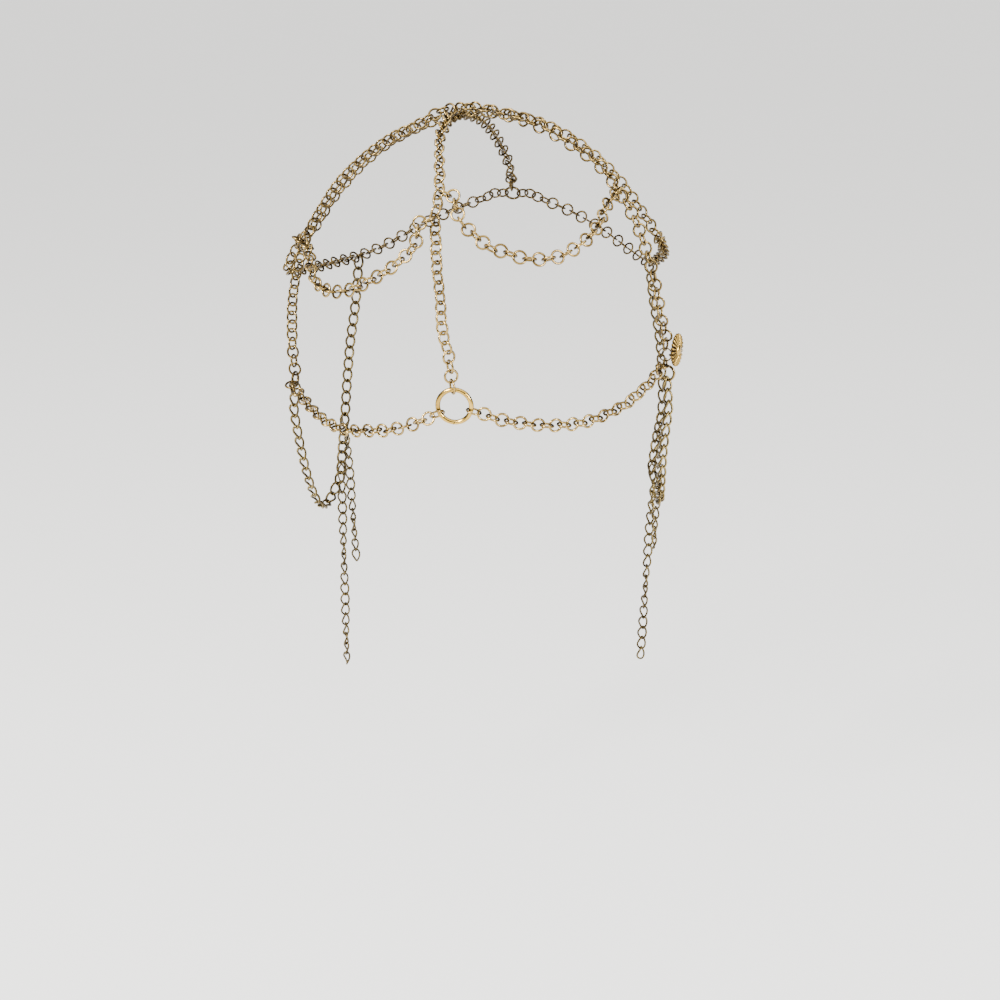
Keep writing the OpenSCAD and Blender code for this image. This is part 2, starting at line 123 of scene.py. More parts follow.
# Rows of points over its face, as shares of its radius, then share and height down its rim and back
FACE_SHARES = (0.02, 0.12, 0.2, 0.26, 0.3, 0.315, 0.34, 0.38, 0.44, 0.55, 0.66, 0.77, 0.87, 0.94, 0.98)
RIM_ROWS = ((1.0, 0.3), (0.98, 0.05), (0.6, 0.0), (0.02, 0.0))
# The place on the side chain that it hangs under: turn, height angle and lift
MEDALLION_SPOT = (-74.5, -2.6, 4)

# Routes of the chains. A row is a turn round the hollow from straight back, a height angle and,
# where the chain stands off, its lift.
CROWN_ROUTE = [(114, 81), (54, 79), (34, 74), (26, 69)]
FRONT_CENTRE_ROUTE = [(135, 79), (160, 73), (170, 66), (175, 57), (178, 48), (180, 39), (180, 31)]
FRONT_LEFT_ROUTE = [
    (138, 76), (125, 72), (115, 68), (109, 62), (105, 56), (102, 50), (99, 44), (97, 38), (94, 32),
    (90, 26), (85, 20, 5), (82, 14.5, 7.5), (86, 11, 7), (95, 10, 5), (104, 9.5), (113, 9), (123, 9),
    (134, 11), (146, 16), (158, 21), (169, 25),
]
FRONT_RIGHT_ROUTE = [
    (-150, 82), (-115, 76), (-100, 72), (-95, 70), (-88, 62), (-85, 55), (-84, 50), (-83, 40),
    (-82, 35), (-85, 30), (-89, 24), (-96, 20), (-104, 16), (-113, 12), (-123, 9), (-134, 11),
    (-146, 16), (-158, 21), (-169, 25),
]
FOREHEAD_SPOT = (180, 27)
BROW_SPOT = (123, 9)
# Ways down the centre front chain at which the side front chains hook in
FORK_LEFT = 14.0
FORK_RIGHT = 8.0

# Routes of the face drapes. A row is the way out from the hollow's half width, then y and z.
DRAPE_LEFT_ROUTE = [
    (2.5, 20.5, -41), (2, 18, -52.8), (1.1, 15, -64.6), (0.1, 11, -76), (-1, 6, -85.5), (-2, 0, -92.3),
    (-2.3, -8, -95.2), (-3.3, -14.5, -94.2), (-4.8, -19.5, -90.5), (-6.4, -23, -85.5), (-6, -29, -78.5),
    (-5, -37, -72), (-4, -44, -67), (-3.6, -49, -60.5), (-4.2, -52.5, -46), (-6, -54, -28),
    (-9, -54.3, -10),
]
DRAPE_RIGHT_ROUTE = [
    (2.6, 20.3, -36), (1.6, 18, -46.5), (0.6, 15, -57.2), (0, 11, -68), (-0.5, 6, -77.2),
    (-1, 0, -83.5), (-1.5, -8, -86.2), (-2.6, -14.5, -85), (-4.2, -19.5, -81.3), (-6.2, -23, -76.5),
    (-5.8, -29, -69.8), (-5, -37, -63.4), (-4, -44, -58.5), (-3.6, -49, -52), (-4.2, -52.5, -38),
    (-6, -54, -21.5), (-9, -54.3, -5),
]
# Way to a drape's first link, and the turn of each drape's links from facing the back
DRAPE_START = 0.75
DRAPE_TURNS = {"left": 32.0, "right": -58.0}

# The dangles. Each has the place, counted in links up from its foot, of a link that faces the back.
DANGLES = {
    "long_dangle_left": 7.4,
    "long_dangle_right": 1.7,
    "short_dangle_left": 0.4,
    "short_dangle_right": -4.4,
}
# How far a dangle's ring passes over the middle of its drape, and the reach that gives the drape's run
RING_OVER = 0.9
RING_REACH = 2.0

# Tones of the gold finishes: noise scales, and ranges and shares of the masks
BROAD_SCALE = 90.0
BROAD_RANGE = (0.35, 0.65)
PATCH_SCALE = 420.0
TARNISH_RANGE = (0.56, 0.74)
TARNISH_SHARE = 0.45
GRAIN_SCALE = 3200.0
# The inner range and share set the painted shade and painted reflection on the sides of links that face
# the hollow
PAINTED_SHADE_RANGE = (0.0, 0.75)
PAINTED_SHADE_SHARE = 0.88

# Relief and dullness of the gold finishes, with the depth in metres
GRAIN_RELIEF = 0.4
PATCH_RELIEF = 0.6
RELIEF_STRENGTH = 0.35
RELIEF_DEPTH = 0.00006
DULL_RANGE = (0.4, 0.75)
PATCH_DULLNESS = 0.12
GRAIN_DULLNESS = 0.05

# Dark grooves: the nape ring's seam, a real joint, in metres and shares, and the painted shade between the
# medallion's rays, in millimetres
GROOVE_COLOUR = (0.05, 0.028, 0.01)
GROOVE_SHARE = 0.95
GROOVE_RELIEF = 4.0
GROOVE_DULLNESS = 0.3
NAPE_HALF_WIRE = 0.001
SEAM_SLANT = math.radians(38)
SEAM_WIDTH = 0.00022
SEAM_CORE = 0.4
SEAM_REACH = (0.4, 0.6)
RAY_WAVE = (-0.4, 0.8)
RAY_FADE = 0.4
RIM_FADE = 0.5
FACE_REACH = (3.0, 4.0)

# The stage, in metres
FLOOR_HALF = 40.0
FLOOR_DROP = 0.10
FLOOR_SCALE = 3.0
FLOOR_RANGE = (0.3, 0.7)
FLOOR_SHARE = 0.04
FLOOR_SHADE = (0.7, 0.7, 0.7)
FLOOR_ROUGHNESS = 0.9
# Soft lights: place, size, power in watts and colour
LIGHTS = {
    "key_light": ((0.75, 1.0, 0.75), (0.3, 0.3), 48.0, (1.0, 0.98, 0.95)),
    "fill_light": ((-1.0, 0.8, 0.35), (0.2, 0.5), 24.0, (0.97, 0.98, 1.0)),
}
# The studio round the floor, by the height of the way looked in
OVERHEAD_RANGE = (0.5, 0.72)
OVERHEAD_COLOUR = (1.0, 0.99, 0.97)
OVERHEAD_STRENGTH = 2.3
HORIZON_RANGE = (0.1, 0.4)
HORIZON_COLOUR = (0.25, 0.25, 0.245)
DIM_COLOUR = (0.045, 0.045, 0.05)
DIM_STRENGTH = 0.9

# The camera's place in millimetres, its turn in degrees and its lens
CAMERA_PLACE = (-126.1, 730.9, 74.9)
CAMERA_TURN = (71.67, 0.42, -171.63)
CAMERA_LENS = 61.4
CAMERA_SENSOR = 36.0

DOWN = np.array([0.0, 0.0, -1.0])


def vec(*values):
    """A point or way as an array."""
    return np.array(values, dtype=float)


def unit(v):
    """The same way at length one."""
    return v / np.linalg.norm(v)


def across(v, axis):
    """The part of v that is square to the axis, at length one."""
    return unit(v - np.dot(v, axis) * axis)


def on_net(spot, lift):
    """A point over the hollow's form, at the spot's own lift where it has one."""
    az = math.radians(spot[0])
    el = math.radians(spot[1])
    off = spot[2] if len(spot) > 2 else lift
    deep = NET_BACK if math.cos(az) >= 0 else NET_FRONT
    tall = NET_UP if el >= 0 else NET_DOWN
    return vec(
        (NET_HALF_W + off) * math.cos(el) * math.sin(az),
        (deep + off) * math.cos(el) * math.cos(az),
        (tall + off) * math.sin(el),
    )


def outward(p):
    """Direction straight off the hollow's form."""
    deep = NET_BACK if p[1] >= 0 else NET_FRONT
    tall = NET_UP if p[2] >= 0 else NET_DOWN
    return unit(vec(p[0] / NET_HALF_W**2, p[1] / deep**2, p[2] / tall**2))


SEAT = on_net(CROWN_ROUTE[0], 0)


class Track:
    """A smooth curve through points, read by the way along it."""

    def __init__(self, points):
        points = np.array(points)
        rows = []
        for k in range(len(points) - 1):
            a = points[max(k - 1, 0)]
            b = points[k]
            c = points[k + 1]
            d = points[min(k + 2, len(points) - 1)]
            for j in range(CURVE_STEPS):
                f = j / CURVE_STEPS
                bend = (2 * a - 5 * b + 4 * c - d) * f * f + (3 * b - a - 3 * c + d) * f**3
                rows.append((2 * b + (c - a) * f + bend) / 2)
        rows.append(points[-1])
        self.rows = np.array(rows)
        steps = np.linalg.norm(np.diff(self.rows, axis=0), axis=1)
        self.ways = np.concatenate([[0.0], np.cumsum(steps)])
        self.length = self.ways[-1]

    def place(self, way):
        """The point at a way along the curve."""
        return np.array([np.interp(way, self.ways, self.rows[:, axis]) for axis in range(3)])

    def heading(self, way, reach):
        """The curve's run at a way along it."""
        ahead = self.place(min(way + reach, self.length))
        behind = self.place(max(way - reach, 0.0))
        return unit(ahead - behind)


class Link:
    """A link's centre and two square directions that span its plane."""

    def __init__(self, centre, along, width):
        self.centre = centre
        self.along = along
        self.width = width

    @property
    def axis(self):
        """The way through the link's hole."""
        return np.cross(self.along, self.width)


def laid(track, way, roll, reach):
    """A link on a track, its plane turned by the roll."""
    centre = track.place(way)
    along = track.heading(way, reach)
    off = across(outward(centre), along)
    side = np.cross(off, along)
    turn = math.radians(roll)
    return Link(centre, along, math.cos(turn) * side + math.sin(turn) * off)


def wrap(angle, turn):
    """The angle less whole turns."""
    return angle - turn * round(angle / turn)


def square_roll(track, way, other, reach):
    """The roll at which a link on the track passes squarely through another."""
    flat = laid(track, way, 0, reach)
    width = across(other.axis, flat.along)
    return math.degrees(math.atan2(np.dot(width, flat.axis), np.dot(width, flat.width)))


def lead(link, way):
    """A point off a link's centre, in its plane and along the hollow."""
    along = across(link.along, outward(link.centre))
    return link.centre + way * across(along, link.axis)


def hooked(links, spot, target, way):
    """A link hooked low into the side of the nearest link, towards a point."""
    carrier = min(links, key=lambda link: np.linalg.norm(link.centre - spot))
    off = outward(carrier.centre)
    away = unit(across(target - carrier.centre, off) + HOOK_RISE * off)
    return Link(carrier.centre + way * away, away, across(carrier.axis, away))


def strung(points, pitch, first, last, near, far):
    """Round links between two given ones, a quarter turn apart."""
    ends = [first.centre, lead(first, near)], [lead(last, far), last.centre]
    track = Track(ends[0] + points + ends[1])
    reach = pitch / 2
    inner = track.length - near - far
    start = square_roll(track, near, first, reach)
    end = square_roll(track, track.length - far, last, reach)
    ease_in = wrap(start - LINK_LEAN, 90)
    count = math.ceil(inner / pitch)
    if abs(wrap(end - start + ease_in - 90 * count, 180)) > 45:
        count += 1
    ease_out = wrap(end - start + ease_in - 90 * count, 180)
    links = [first]
    for i in range(count + 1):
        from_start = max(0.0, 1 - i / EASE_LINKS)
        from_end = max(0.0, 1 - (count - i) / EASE_LINKS)
        calm = min(1.0, i / EASE_LINKS, (count - i) / EASE_LINKS)
        roll = start - ease_in + 90 * i + LINK_STRAY * math.sin(math.radians(STRAY_TURN * i)) * calm
        roll += ease_in * from_start + ease_out * from_end
        links.append(laid(track, near + i * inner / count, roll, reach))
    return links + [last]


# Meshes

def round_turn(steps):
    """Angles in equal steps round a circle."""
    return np.arange(steps) * 2 * math.pi / steps


def closed_wire(path, wire, sides):
    """Vertices and faces of a wire bent into the closed path."""
    count = len(path)
    ahead = np.roll(path, -1, axis=0) - np.roll(path, 1, axis=0)
    ahead /= np.linalg.norm(ahead, axis=1)[:, None]
    spoke = path - path.mean(axis=0)
    spoke -= (spoke * ahead).sum(axis=1)[:, None] * ahead
    spoke /= np.linalg.norm(spoke, axis=1)[:, None]
    lift = np.cross(ahead, spoke)
    turns = round_turn(sides)[None, :, None]
    ring = np.cos(turns) * spoke[:, None] + np.sin(turns) * lift[:, None]
    verts = (path[:, None] + wire / 2 * ring).reshape(-1, 3)
    faces = []
    for i in range(count):
        a = i * sides
        b = (i + 1) % count * sides
        for k in range(sides):
            m = (k + 1) % sides
            faces.append((a + k, b + k, b + m, a + m))
    return verts, np.array(faces)


def round_link(outer, wire, sizes):
    """A round link's mesh about its centre."""
    radius = (outer - wire) / 2
    turns = round_turn(sizes.link_steps)
    path = np.stack([radius * np.cos(turns), radius * np.sin(turns), 0 * turns], axis=1)
    return closed_wire(path, wire, sizes.wire_sides)


def curb_link(long, wide, wire, sizes):
    """A twisted oval link's mesh about its centre."""
    turns = round_turn(sizes.link_steps)
    x = (long - wire) / 2 * np.cos(turns)
    half = (wide - wire) / 2 * np.sin(turns)
    tilt = np.radians(sizes.twist) * np.cos(turns)
    path = np.stack([x, half * np.cos(tilt), half * np.sin(tilt)], axis=1)
    return closed_wire(path, wire, sizes.wire_sides)


def upended(link):
    """The same link with its end that was down turned up."""
    return Link(link.centre, -link.along, link.width)


def placed(shape, link):
    """A link shape moved to its place, in metres in the part's frame."""
    verts, faces = shape
    turn = np.stack([link.along, link.width, link.axis], axis=1)
    return (verts @ turn.T + link.centre - SEAT) * MM, faces


def add_piece(name, shapes, slot, node):
    """Joins shapes into one smooth mesh that stands for a node's plain form."""
    verts = []
    faces = []
    start = 0
    for shape_verts, shape_faces in shapes:
        verts.append(shape_verts)
        faces.append(shape_faces + start)
        start += len(shape_verts)
    mesh = bpy.data.meshes.new(name)
    mesh.from_pydata(np.concatenate(verts).tolist(), [], np.concatenate(faces).tolist())
    mesh.shade_smooth()
    piece = bpy.data.objects.new(name, mesh)
    bpy.context.collection.objects.link(piece)
    piece.data.materials.append(bpy.data.materials[slot])
    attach(piece, "root")
    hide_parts(node)


# Shader expressions

class Wire:
    """A shader socket that takes part in Python expressions."""

    def __init__(self, shader, socket):
        self.shader = shader
        self.socket = socket

    def _maths(self, operation, *inputs):
        return self.shader.node("ShaderNodeMath", {"operation": operation}, inputs)

    def __add__(self, other):
        return self._maths("ADD", self, other)

    def __radd__(self, other):
        return self._maths("ADD", other, self)

    def __sub__(self, other):
        return self._maths("SUBTRACT", self, other)

    def __rsub__(self, other):
        return self._maths("SUBTRACT", other, self)

    def __mul__(self, other):
        return self._maths("MULTIPLY", self, other)

    def __rmul__(self, other):
        return self._maths("MULTIPLY", other, self)

    def __truediv__(self, other):
        return self._maths("DIVIDE", self, other)

    def __abs__(self):
        return self._maths("ABSOLUTE", self)

    def at_least(self, low):
        return self._maths("MAXIMUM", self, low)

    def clamped(self):
        """Held between 0 and 1."""
        return self._maths("MINIMUM", self.at_least(0.0), 1.0)

    def root(self):
        return self._maths("SQRT", self)

    def cosine(self):
        return self._maths("COSINE", self)

    def angle(self, run):
        """The turn at which this is the rise over the run."""
        return self._maths("ARCTAN2", self, run)

    def between(self, low, high):
        """0 at low, 1 at high, smooth in between."""
        return self.shader.node(
            "ShaderNodeMapRange", {"interpolation_type": "SMOOTHSTEP"}, {0: self, 1: low, 2: high}
        )


class Shader:
    """The node tree of a material or the world."""

    def __init__(self, name=None, world=None):
        self.owner = world or bpy.data.materials.get(name) or bpy.data.materials.new(name)
        self.owner.use_nodes = True
        self.tree = self.owner.node_tree
        self.tree.nodes.clear()

    def node(self, kind, settings=None, inputs=(), output=0):
        """Adds a node, its settings first, and returns one of its outputs, or all for None."""
        made = self.tree.nodes.new(kind)
        for key, value in (settings or {}).items():
            setattr(made, key, value)
        pairs = inputs.items() if isinstance(inputs, dict) else enumerate(inputs)
        for key, value in pairs:
            if isinstance(value, Wire):
                self.tree.links.new(value.socket, made.inputs[key])
            else:
                made.inputs[key].default_value = value
        outputs = [Wire(self, socket) for socket in made.outputs]
        return outputs if output is None else outputs[output]

    def mix(self, factor, one, other):
        """Mixes two colours."""
        settings = {"data_type": "RGBA", "blend_type": "MIX"}
        inputs = {0: factor, 6: self._colour(one), 7: self._colour(other)}
        return self.node("ShaderNodeMix", settings, inputs, output=2)

    @staticmethod
    def _colour(value):
        return value if isinstance(value, Wire) else (*value, 1.0)

    def place(self):
        """The point in the object's own space."""
        return self.node("ShaderNodeTexCoord", output=3)

    def direction(self):
        """The way looked in, for the world."""
        return self.node("ShaderNodeTexCoord", output=0)

    def vectors(self, operation, *inputs, output=0):
        """Vector maths, whose number is output 1."""
        return self.node("ShaderNodeVectorMath", {"operation": operation}, inputs, output)

    def painted_shade_side(self, place):
        """Mask of painted shade and painted reflection: 1 on the side of a link that faces the hollow, 0
        on its outer side.
        """
        off = self.vectors("SUBTRACT", place, tuple(-SEAT * MM))
        x, y, z = self.node("ShaderNodeSeparateXYZ", {}, [off], output=None)
        off = self.node("ShaderNodeCombineXYZ", {}, [x, y, z.at_least(0.0)])
        normal = self.node("ShaderNodeNewGeometry", output=1)
        facing = self.vectors("DOT_PRODUCT", normal, self.vectors("NORMALIZE", off), output=1)
        return 1 - facing.between(*PAINTED_SHADE_RANGE)

    def noise(self, place, scale, detail, rough=0.5):
        """Cloudy grey from 0 to 1."""
        inputs = {"Vector": place, "Scale": scale, "Detail": detail, "Roughness": rough}
        return self.node("ShaderNodeTexNoise", {}, inputs)

    def finish(self, surface):
        """Joins the surface to the material's output."""
        self.node("ShaderNodeOutputMaterial", {}, {0: surface}, output=None)
        return self.owner


# Finishes

def gold_finish(name, light, shade, tarnish, dark, roughness, grooves):
    """Polished gold plate with soft tone changes, tarnish, painted shade and painted reflection on the
    sides that face the hollow, and fine scratches.
    """
    shader = Shader(name)
    place = shader.place()
    broad = shader.noise(place, BROAD_SCALE, detail=2.0)
    patches = shader.noise(place, PATCH_SCALE, detail=4.0, rough=0.6)
    grain = shader.noise(place, GRAIN_SCALE, detail=3.0, rough=0.6)
    colour = shader.mix(broad.between(*BROAD_RANGE), light, shade)
    colour = shader.mix(patches.between(*TARNISH_RANGE) * TARNISH_SHARE, colour, tarnish)
    # Painted shade and painted reflection: the sides that face the hollow take the inner tone
    colour = shader.mix(shader.painted_shade_side(place) * PAINTED_SHADE_SHARE, colour, dark)
    height = grain * GRAIN_RELIEF + patches * PATCH_RELIEF
    rough = roughness + patches.between(*DULL_RANGE) * PATCH_DULLNESS + grain * GRAIN_DULLNESS
    # A groove mask is either a real joint, the nape ring's seam, or painted shade, between the medallion's
    # rays
    for groove in grooves:
        gap = groove(shader, place)
        colour = shader.mix(gap * GROOVE_SHARE, colour, GROOVE_COLOUR)
        height = height - gap * GROOVE_RELIEF
        rough = rough + gap * GROOVE_DULLNESS
    relief = {"Strength": RELIEF_STRENGTH, "Distance": RELIEF_DEPTH, "Height": height}
    bump = shader.node("ShaderNodeBump", {}, relief)
    inputs = {
        "Base Color": colour,
        "Metallic": 1.0,
        "Roughness": rough.clamped(),
        "Normal": bump,
    }
    return shader.finish(shader.node("ShaderNodeBsdfPrincipled", {}, inputs))


def nape_seam(shader, place):
    """The slanted closing seam at the bottom of the nape ring."""
    low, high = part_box("nape_ring")
    centre = (low + high) / 2
    radius = (high.z - low.z) / 2 - NAPE_HALF_WIRE
    parts = shader.node("ShaderNodeSeparateXYZ", {}, [place], output=None)
    x = parts[0] - centre.x
    z = parts[2] - (centre.z - radius)
    aside = abs(x * math.cos(SEAM_SLANT) + z * math.sin(SEAM_SLANT))
    near = 1 - aside.between(SEAM_WIDTH * SEAM_CORE, SEAM_WIDTH)
    return near * (1 - abs(z).between(*(radius * share for share in SEAM_REACH)))


def medallion_frame():
    """The middle of the medallion's flat back, in millimetres, and its upright, back and outer ways."""
    up = -DOWN
    out = across(outward(on_net(MEDALLION_SPOT, 0)), up)
    back = np.cross(out, up)
    back = back * np.sign(back[1])
    points = np.array([vertex.co for vertex in frame["nodes"]["temple_medallion"].data.vertices]) / MM
    along, height, depth = (points @ way for way in (back, up, out))
    middle = (along.min() + along.max()) / 2 * back + (height.min() + height.max()) / 2 * up
    return middle + (depth.max() - BOSS_TOP) * out, up, back, out


def painted_ray_shade(shader, place):
    """Painted shade in the grooves between the medallion's rays."""
    middle, up, back, out = medallion_frame()
    off = shader.vectors("SUBTRACT", place, tuple(middle * MM))
    height, along, depth = (
        shader.vectors("DOT_PRODUCT", off, tuple(way), output=1) / MM for way in (up, back, out)
    )
    way = (along * along + height * height).root()
    wave = (height.angle(along) * RAYS).cosine()
    near = (1 - way.between(SUN_RADIUS, SUN_RADIUS + RIM_FADE)) * (1 - abs(depth).between(*FACE_REACH))
    return (1 - wave.between(*RAY_WAVE)) * way.between(BOSS_RADIUS, RAY_START + RAY_FADE) * near


class ChainSizes(bpy.types.PropertyGroup):
    """Sizes of the fine chains, in millimetres."""

    link_outer: FloatProperty(
        name="Round link", description="Outer diameter of a round link, in mm",
        default=6.1, min=5.0, max=6.5
    )
    link_wire: FloatProperty(
        name="Round link wire", description="Wire of a round link, in mm",
        default=0.95, min=0.6, max=1.1
    )
    link_play: FloatProperty(
        name="Play", description="Free play between links, in mm",
        default=0.22, min=0.1, max=0.4
    )
    curb_long: FloatProperty(
        name="Curb length", description="Length of a curb link, in mm",
        default=7.7, min=5.0, max=8.5
    )
    curb_wide: FloatProperty(
        name="Curb width", description="Width of a curb link, in mm",
        default=5.1, min=3.5, max=5.5
    )
    curb_wire: FloatProperty(
        name="Curb wire", description="Wire of a curb link, in mm",
        default=1.1, min=0.6, max=1.2
    )
    dangle_long: FloatProperty(
        name="Dangle length", description="Length of a dangle's link, in mm",
        default=7.1, min=4.0, max=7.8
    )
    dangle_wide: FloatProperty(
        name="Dangle width", description="Width of a dangle's link, in mm",
        default=4.9, min=3.0, max=5.2
    )
    dangle_wire: FloatProperty(
        name="Dangle wire", description="Wire of a dangle's link, in mm",
        default=0.95, min=0.5, max=1.1
    )
    hang_wide: FloatProperty(
        name="Hanging ring width", description="Width of a dangle's top ring, in mm",
        default=4.0, min=3.0, max=5.0
    )
    hang_wire: FloatProperty(
        name="Hanging ring wire", description="Wire of a dangle's top ring, in mm",
        default=0.8, min=0.5, max=1.0
    )
    twist: FloatProperty(
        name="Twist", description="Twist of a curb link's ends, in degrees",
        default=44.0, min=-50.0, max=50.0
    )
    swirl: FloatProperty(
        name="Swirl", description="Turn from one link of a dangle to the next, in degrees",
        default=20.4, min=0.0, max=45.0
    )
    link_steps: IntProperty(
        name="Link steps", description="Steps round a link",
        default=16, min=10, max=24
    )
    wire_sides: IntProperty(
        name="Wire sides", description="Sides of a link's wire",
        default=6, min=5, max=8
    )


class MetalColours(bpy.types.PropertyGroup):
    """Colours of the plated metal."""

    pale: FloatVectorProperty(
        name="Pale gold", description="Light tone of the chains", subtype="COLOR", size=3,
        min=0.0, max=1.0, default=(0.42, 0.285, 0.092)
    )
    pale_shade: FloatVectorProperty(
        name="Pale gold shade", description="Darker tone of the chains", subtype="COLOR", size=3,
        min=0.0, max=1.0, default=(0.22, 0.142, 0.045)
    )
    olive: FloatVectorProperty(
        name="Olive gold", description="Light tone of the curb chains", subtype="COLOR", size=3,
        min=0.0, max=1.0, default=(0.44, 0.325, 0.115)
    )
    olive_shade: FloatVectorProperty(
        name="Olive gold shade", description="Darker tone of the curb chains", subtype="COLOR", size=3,
        min=0.0, max=1.0, default=(0.24, 0.17, 0.06)
    )
    deep: FloatVectorProperty(
        name="Deep gold", description="Light tone of the nape ring and medallion", subtype="COLOR",
        size=3, min=0.0, max=1.0, default=(0.60, 0.385, 0.085)
    )
    deep_shade: FloatVectorProperty(
        name="Deep gold shade", description="Darker tone of the nape ring and medallion",
        subtype="COLOR", size=3, min=0.0, max=1.0, default=(0.36, 0.215, 0.04)
    )
    tarnish: FloatVectorProperty(
        name="Tarnish", description="Tone of worn and dull spots", subtype="COLOR", size=3,
        min=0.0, max=1.0, default=(0.12, 0.075, 0.028)
    )
    # The inner side tone is painted shade and painted reflection on the sides that face the hollow
    inner: FloatVectorProperty(
        name="Inner side", description="Tone of the dull sides that face the hollow",
        subtype="COLOR", size=3, min=0.0, max=1.0, default=(0.03, 0.02, 0.009)
    )
    backdrop: FloatVectorProperty(
        name="Backdrop", description="Colour of the floor", subtype="COLOR", size=3,
        min=0.0, max=1.0, default=(0.80, 0.80, 0.79)
    )


class HAIRCHAIN_OT_metal(bpy.types.Operator):
    """Makes the gold finishes and puts them on the rings and links of the frame"""

    bl_idname = "hairchain.metal"
    bl_label = "Metal finishes"

    def execute(self, context):
        colours = context.scene.hairchain_colours
        # Name, light tone, dark tone, roughness and grooves
        finishes = (
            ("pale_gold", colours.pale, colours.pale_shade, 0.16, ()),
            ("curb_gold", colours.olive, colours.olive_shade, 0.20, ()),
            ("deep_gold", colours.deep, colours.deep_shade, 0.14, (nape_seam, painted_ray_shade)),
        )
        for name, light, shade, roughness, grooves in finishes:
            gold_finish(name, light, shade, colours.tarnish, colours.inner, roughness, grooves)
        slots = {part["node"]: part["material_slot"] for part in frame["record"]["subparts"]}
        for name, node in frame["nodes"].items():
            node.data.materials.clear()
            node.data.materials.append(bpy.data.materials[slots[name]])
            node.data.shade_smooth()
        return {"FINISHED"}


def face_height(share, radius, ridge):
    """Heights round a row of the medallion's face, on its domed middle or its rays."""
    flat_radius = share * SUN_RADIUS
    if flat_radius < BOSS_RADIUS:
        dome = math.sqrt(1 - (flat_radius / BOSS_RADIUS) ** 2)
        return SUN_FACE + (BOSS_TOP - SUN_FACE) * dome
    grown = min(1.0, (flat_radius - BOSS_RADIUS) / (RAY_START - BOSS_RADIUS + RAY_BLEND))
    return SUN_FACE - SUN_FALL * (radius - BOSS_RADIUS) + SUN_RIDGE * grown * (ridge - RIDGE_LEVEL)


def ribbed_disc():
    """The medallion's face, edge and back about the middle of its back."""
    count = RAYS * RAY_STEPS
    turns = round_turn(count)
    ray = (turns * RAYS / (2 * math.pi) + 0.5) % 1.0
    ridge = np.sqrt(1 - (2 * ray - 1) ** 2)
    rings = []
    for share, height in [(share, None) for share in FACE_SHARES] + list(RIM_ROWS):
        radius = share * (SUN_RADIUS - SUN_SCALLOP * (1 - ridge) * share**2)
        if height is None:
            height = face_height(share, radius, ridge)
        heights = np.broadcast_to(height, count)
        rings.append(np.stack([radius * np.cos(turns), radius * np.sin(turns), heights], axis=1))
    last = (len(rings) - 1) * count
    faces = [
        (start + k, start + count + k, start + count + (k + 1) % count, start + (k + 1) % count)
        for start in range(0, last, count) for k in range(count)
    ]
    faces.extend(
        (start + k, start + k + 1, start + count - 2 - k, start + count - 1 - k)
        for start in (0, last) for k in range(count // 2 - 1)
    )
    return np.concatenate(rings), np.array(faces)


class HAIRCHAIN_OT_medallion(bpy.types.Operator):
    """Builds the ribbed medallion with its loop"""

    bl_idname = "hairchain.medallion"
    bl_label = "Medallion"

    def execute(self, context):
        sizes = context.scene.hairchain_sizes
        middle, up, back, out = medallion_frame()
        face = placed(ribbed_disc(), Link(middle + SEAT, up, back))
        loop_centre = middle + SEAT - LOOP_DROP * up - (LOOP_OD - LOOP_WIRE) / 2 * out
        loop = round_link(LOOP_OD, LOOP_WIRE, sizes)
        shapes = [face, placed(loop, Link(loop_centre, out, back))]
        add_piece("temple_medallion_ribbed", shapes, "deep_gold", "temple_medallion")
        return {"FINISHED"}


def temple_ring_centre(hand):
    """Centre of a temple ring, in millimetres from the hollow's middle."""
    low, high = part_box(f"temple_ring_{hand}")
    return np.array((low + high) / 2) / MM + SEAT


def forehead_frame(lift):
    """The forehead ring's centre, and its upright, side and outer ways."""
    centre = on_net(FOREHEAD_SPOT, lift)
    off = outward(centre)
    up = across(vec(0, 0, 1), off)
    return centre, up, np.cross(up, off), off


class HAIRCHAIN_OT_front_chains(bpy.types.Operator):
    """Builds the three round-link chains in front of the crown"""

    bl_idname = "hairchain.front_chains"
    bl_label = "Front chains"

    def execute(self, context):
        sizes = context.scene.hairchain_sizes
        pitch = sizes.link_outer - 2 * sizes.link_wire - sizes.link_play
        near = pitch - END_SLACK
        lean_lift = sizes.link_outer / 2 * math.sin(math.radians(LINK_LEAN)) + REST_GAP
        crown = laid(Track([on_net(row, lean_lift) for row in CROWN_ROUTE]), 0, LINK_LEAN, pitch / 2)
        crown.along = -crown.along
        centre, up, side, off = forehead_frame(lean_lift)
        ring_way = (FOREHEAD_OD + sizes.link_outer) / 2
        ring_way = ring_way - FOREHEAD_WIRE - sizes.link_wire - sizes.link_play
        rows = [on_net(row, lean_lift) for row in FRONT_CENTRE_ROUTE]
        low_end = Link(centre + ring_way * up, up, off)
        middle = strung(rows, pitch, crown, low_end, near, near)[1:]
        chains = {"front_centre_chain": middle}
        for name, route, fork in (
            ("front_chain_left", FRONT_LEFT_ROUTE, FORK_LEFT),
            ("front_chain_right", FRONT_RIGHT_ROUTE, FORK_RIGHT),
        ):
            sign = 1.0 if name.endswith("left") else -1.0
            rows = [on_net(row, lean_lift) for row in route]
            spot = crown.centre + fork * unit(on_net(FRONT_CENTRE_ROUTE[0], lean_lift) - crown.centre)
            first = hooked(middle, spot, rows[0], pitch)
            toward = sign * np.sign(side[0]) * side
            last = Link(centre + ring_way * toward, toward, off)
            chains[name] = strung(rows, pitch, first, last, near, near)
        shape = round_link(sizes.link_outer, sizes.link_wire, sizes)
        for name, links in chains.items():
            add_piece(f"{name}_links", [placed(shape, link) for link in links], "pale_gold", name)
        return {"FINISHED"}


